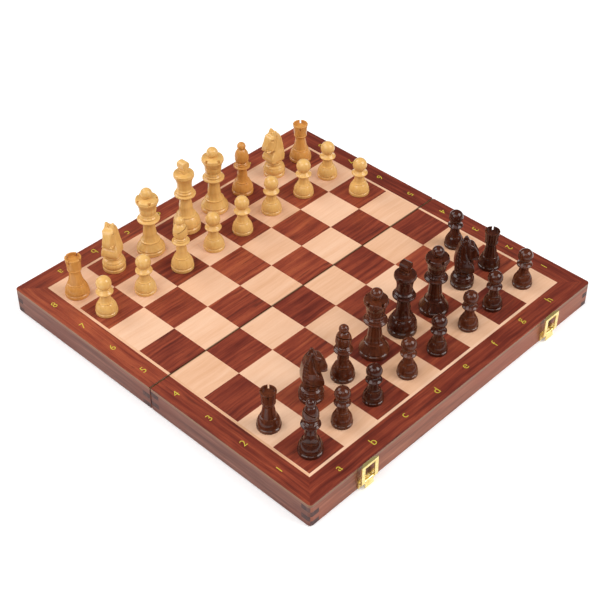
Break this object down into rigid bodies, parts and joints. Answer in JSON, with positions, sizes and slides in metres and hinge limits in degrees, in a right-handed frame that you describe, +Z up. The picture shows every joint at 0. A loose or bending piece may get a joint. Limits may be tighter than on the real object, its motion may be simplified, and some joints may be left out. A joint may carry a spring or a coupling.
{
  "type": "chess set with folding board",
  "caption": "Folding wooden chess board box with turned chessmen standing on it; two hinged trays with brass toggle clasps.",
  "frame": {"origin": "on the ground under the middle of the open board, at the seam", "axes": "+X from file a to file h along the seam, +Y from rank 1 to rank 8, +Z up"},
  "size_m": [0.381, 0.3906, 0.105],
  "materials": {
    "boxwood": "satin lacquer",
    "stained_boxwood": "gloss lacquer",
    "rosewood_veneer": "satin lacquer",
    "maple_veneer": "satin lacquer",
    "plywood": "clear lacquer",
    "rail_wood": "satin stain",
    "felt": "felt",
    "brass": "polished",
    "brass_fixings": "polished"
  },
  "bodies": {
    "front_half": {"clasp_base_plates": "brass", "fixings_front": "brass_fixings", "front_felt_lining": "felt", "front_left_rail": "rail_wood", "front_maple_veneer": "maple_veneer", "front_panel": "plywood", "front_rail": "rail_wood", "front_right_rail": "rail_wood", "front_rosewood_veneer": "rosewood_veneer", "front_seam_rail": "rail_wood", "hinge_leaves_front": "brass"},
    "rear_half": {"catch_plates": "brass", "fixings_rear": "brass_fixings", "hinge_leaves_rear": "brass", "rear_felt_lining": "felt", "rear_left_rail": "rail_wood", "rear_maple_veneer": "maple_veneer", "rear_panel": "plywood", "rear_rail": "rail_wood", "rear_right_rail": "rail_wood", "rear_rosewood_veneer": "rosewood_veneer", "rear_seam_rail": "rail_wood"},
    "lever_left": {"clasp_lever_left": "brass"},
    "loop_left": {"clasp_loop_left": "brass"},
    "lever_right": {"clasp_lever_right": "brass"},
    "loop_right": {"clasp_loop_right": "brass"},
    "man_dark_king_e2": {"dark_king_e2": "stained_boxwood"},
    "man_dark_queen_d2": {"dark_queen_d2": "stained_boxwood"},
    "man_dark_queen_f2": {"dark_queen_f2": "stained_boxwood"},
    "man_dark_bishop_a1": {"dark_bishop_a1": "stained_boxwood"},
    "man_dark_bishop_c2": {"dark_bishop_c2": "stained_boxwood"},
    "man_dark_knight_b2": {"dark_knight_b2": "stained_boxwood"},
    "man_dark_knight_g2": {"dark_knight_g2": "stained_boxwood"},
    "man_dark_rook_a2": {"dark_rook_a2": "stained_boxwood"},
    "man_dark_rook_h2": {"dark_rook_h2": "stained_boxwood"},
    "man_dark_pawn_b1": {"dark_pawn_b1": "stained_boxwood"},
    "man_dark_pawn_c1": {"dark_pawn_c1": "stained_boxwood"},
    "man_dark_pawn_d1": {"dark_pawn_d1": "stained_boxwood"},
    "man_dark_pawn_e1": {"dark_pawn_e1": "stained_boxwood"},
    "man_dark_pawn_f1": {"dark_pawn_f1": "stained_boxwood"},
    "man_dark_pawn_g1": {"dark_pawn_g1": "stained_boxwood"},
    "man_dark_pawn_h1": {"dark_pawn_h1": "stained_boxwood"},
    "man_dark_pawn_h3": {"dark_pawn_h3": "stained_boxwood"},
    "man_light_king_d8": {"light_king_d8": "boxwood"},
    "man_light_queen_c8": {"light_queen_c8": "boxwood"},
    "man_light_queen_e8": {"light_queen_e8": "boxwood"},
    "man_light_bishop_c7": {"light_bishop_c7": "boxwood"},
    "man_light_bishop_f8": {"light_bishop_f8": "boxwood"},
    "man_light_knight_b8": {"light_knight_b8": "boxwood"},
    "man_light_knight_g8": {"light_knight_g8": "boxwood"},
    "man_light_rook_a8": {"light_rook_a8": "boxwood"},
    "man_light_rook_h8": {"light_rook_h8": "boxwood"},
    "man_light_pawn_a7": {"light_pawn_a7": "boxwood"},
    "man_light_pawn_b7": {"light_pawn_b7": "boxwood"},
    "man_light_pawn_d7": {"light_pawn_d7": "boxwood"},
    "man_light_pawn_e7": {"light_pawn_e7": "boxwood"},
    "man_light_pawn_f7": {"light_pawn_f7": "boxwood"},
    "man_light_pawn_g7": {"light_pawn_g7": "boxwood"},
    "man_light_pawn_h6": {"light_pawn_h6": "boxwood"},
    "man_light_pawn_h7": {"light_pawn_h7": "boxwood"}
  },
  "joints": [
    {"name": "board_fold", "type": "hinge", "parent": "front_half", "child": "rear_half", "pos_m": [0, 0, 0.0015], "axis": [-1, 0, 0], "range_deg": [0, 180]},
    {"name": "loop_swing_left", "type": "hinge", "parent": "front_half", "child": "loop_left", "pos_m": [-0.1245, -0.194, 0.0086], "axis": [1, 0, 0], "range_deg": [0, 180]},
    {"name": "loop_swing_right", "type": "hinge", "parent": "front_half", "child": "loop_right", "pos_m": [0.1245, -0.194, 0.0086], "axis": [1, 0, 0], "range_deg": [0, 180]},
    {"name": "lever_throw_left", "type": "hinge", "parent": "front_half", "child": "lever_left", "pos_m": [-0.1245, -0.194, 0.0086], "axis": [-1, 0, 0], "range_deg": [0, 168]},
    {"name": "lever_throw_right", "type": "hinge", "parent": "front_half", "child": "lever_right", "pos_m": [0.1245, -0.194, 0.0086], "axis": [-1, 0, 0], "range_deg": [0, 168]},
    {"name": "lift_dark_king_e2", "type": "slide", "parent": "front_half", "child": "man_dark_king_e2", "axis": [0, 0, 1], "range_m": [0, 0.1]},
    {"name": "lift_dark_queen_d2", "type": "slide", "parent": "front_half", "child": "man_dark_queen_d2", "axis": [0, 0, 1], "range_m": [0, 0.1]},
    {"name": "lift_dark_queen_f2", "type": "slide", "parent": "front_half", "child": "man_dark_queen_f2", "axis": [0, 0, 1], "range_m": [0, 0.1]},
    {"name": "lift_dark_bishop_a1", "type": "slide", "parent": "front_half", "child": "man_dark_bishop_a1", "axis": [0, 0, 1], "range_m": [0, 0.1]},
    {"name": "lift_dark_bishop_c2", "type": "slide", "parent": "front_half", "child": "man_dark_bishop_c2", "axis": [0, 0, 1], "range_m": [0, 0.1]},
    {"name": "lift_dark_knight_b2", "type": "slide", "parent": "front_half", "child": "man_dark_knight_b2", "axis": [0, 0, 1], "range_m": [0, 0.1]},
    {"name": "lift_dark_knight_g2", "type": "slide", "parent": "front_half", "child": "man_dark_knight_g2", "axis": [0, 0, 1], "range_m": [0, 0.1]},
    {"name": "lift_dark_rook_a2", "type": "slide", "parent": "front_half", "child": "man_dark_rook_a2", "axis": [0, 0, 1], "range_m": [0, 0.1]},
    {"name": "lift_dark_rook_h2", "type": "slide", "parent": "front_half", "child": "man_dark_rook_h2", "axis": [0, 0, 1], "range_m": [0, 0.1]},
    {"name": "lift_dark_pawn_b1", "type": "slide", "parent": "front_half", "child": "man_dark_pawn_b1", "axis": [0, 0, 1], "range_m": [0, 0.1]},
    {"name": "lift_dark_pawn_c1", "type": "slide", "parent": "front_half", "child": "man_dark_pawn_c1", "axis": [0, 0, 1], "range_m": [0, 0.1]},
    {"name": "lift_dark_pawn_d1", "type": "slide", "parent": "front_half", "child": "man_dark_pawn_d1", "axis": [0, 0, 1], "range_m": [0, 0.1]},
    {"name": "lift_dark_pawn_e1", "type": "slide", "parent": "front_half", "child": "man_dark_pawn_e1", "axis": [0, 0, 1], "range_m": [0, 0.1]},
    {"name": "lift_dark_pawn_f1", "type": "slide", "parent": "front_half", "child": "man_dark_pawn_f1", "axis": [0, 0, 1], "range_m": [0, 0.1]},
    {"name": "lift_dark_pawn_g1", "type": "slide", "parent": "front_half", "child": "man_dark_pawn_g1", "axis": [0, 0, 1], "range_m": [0, 0.1]},
    {"name": "lift_dark_pawn_h1", "type": "slide", "parent": "front_half", "child": "man_dark_pawn_h1", "axis": [0, 0, 1], "range_m": [0, 0.1]},
    {"name": "lift_dark_pawn_h3", "type": "slide", "parent": "front_half", "child": "man_dark_pawn_h3", "axis": [0, 0, 1], "range_m": [0, 0.1]},
    {"name": "lift_light_king_d8", "type": "slide", "parent": "rear_half", "child": "man_light_king_d8", "axis": [0, 0, 1], "range_m": [0, 0.1]},
    {"name": "lift_light_queen_c8", "type": "slide", "parent": "rear_half", "child": "man_light_queen_c8", "axis": [0, 0, 1], "range_m": [0, 0.1]},
    {"name": "lift_light_queen_e8", "type": "slide", "parent": "rear_half", "child": "man_light_queen_e8", "axis": [0, 0, 1], "range_m": [0, 0.1]},
    {"name": "lift_light_bishop_c7", "type": "slide", "parent": "rear_half", "child": "man_light_bishop_c7", "axis": [0, 0, 1], "range_m": [0, 0.1]},
    {"name": "lift_light_bishop_f8", "type": "slide", "parent": "rear_half", "child": "man_light_bishop_f8", "axis": [0, 0, 1], "range_m": [0, 0.1]},
    {"name": "lift_light_knight_b8", "type": "slide", "parent": "rear_half", "child": "man_light_knight_b8", "axis": [0, 0, 1], "range_m": [0, 0.1]},
    {"name": "lift_light_knight_g8", "type": "slide", "parent": "rear_half", "child": "man_light_knight_g8", "axis": [0, 0, 1], "range_m": [0, 0.1]},
    {"name": "lift_light_rook_a8", "type": "slide", "parent": "rear_half", "child": "man_light_rook_a8", "axis": [0, 0, 1], "range_m": [0, 0.1]},
    {"name": "lift_light_rook_h8", "type": "slide", "parent": "rear_half", "child": "man_light_rook_h8", "axis": [0, 0, 1], "range_m": [0, 0.1]},
    {"name": "lift_light_pawn_a7", "type": "slide", "parent": "rear_half", "child": "man_light_pawn_a7", "axis": [0, 0, 1], "range_m": [0, 0.1]},
    {"name": "lift_light_pawn_b7", "type": "slide", "parent": "rear_half", "child": "man_light_pawn_b7", "axis": [0, 0, 1], "range_m": [0, 0.1]},
    {"name": "lift_light_pawn_d7", "type": "slide", "parent": "rear_half", "child": "man_light_pawn_d7", "axis": [0, 0, 1], "range_m": [0, 0.1]},
    {"name": "lift_light_pawn_e7", "type": "slide", "parent": "rear_half", "child": "man_light_pawn_e7", "axis": [0, 0, 1], "range_m": [0, 0.1]},
    {"name": "lift_light_pawn_f7", "type": "slide", "parent": "rear_half", "child": "man_light_pawn_f7", "axis": [0, 0, 1], "range_m": [0, 0.1]},
    {"name": "lift_light_pawn_g7", "type": "slide", "parent": "rear_half", "child": "man_light_pawn_g7", "axis": [0, 0, 1], "range_m": [0, 0.1]},
    {"name": "lift_light_pawn_h6", "type": "slide", "parent": "rear_half", "child": "man_light_pawn_h6", "axis": [0, 0, 1], "range_m": [0, 0.1]},
    {"name": "lift_light_pawn_h7", "type": "slide", "parent": "rear_half", "child": "man_light_pawn_h7", "axis": [0, 0, 1], "range_m": [0, 0.1]}
  ]
}
